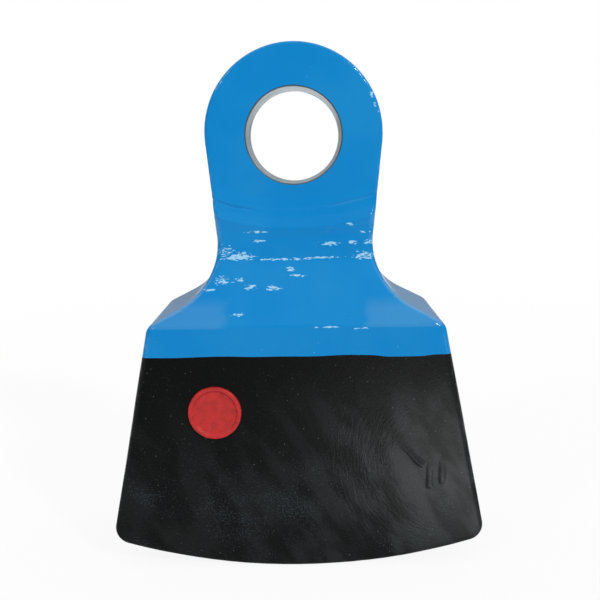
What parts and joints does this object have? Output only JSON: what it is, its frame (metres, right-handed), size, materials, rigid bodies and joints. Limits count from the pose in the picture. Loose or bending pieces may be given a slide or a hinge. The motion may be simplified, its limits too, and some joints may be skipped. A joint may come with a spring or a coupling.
{
  "type": "crusher hammer",
  "caption": "Cast steel swing hammer for a limestone crusher, with a pin eye, a sloped neck and a flared striking head.",
  "frame": {"origin": "centre of the pin bore, on the middle plane between the eye's two side faces", "axes": "+Z from the bore up to the crown of the eye, +Y along the bore, +X across the head; the hammer is symmetric about the XZ and YZ planes"},
  "size_m": [0.3984, 0.164, 0.5585],
  "materials": {
    "painted_casting": "glossy blue paint on the eye, neck and shoulders, semi-gloss black on the head, over rough cast manganese steel; the bore is bare machined steel"
  },
  "bodies": {
    "root": {"hammer_casting": "painted_casting"}
  },
  "joints": []
}
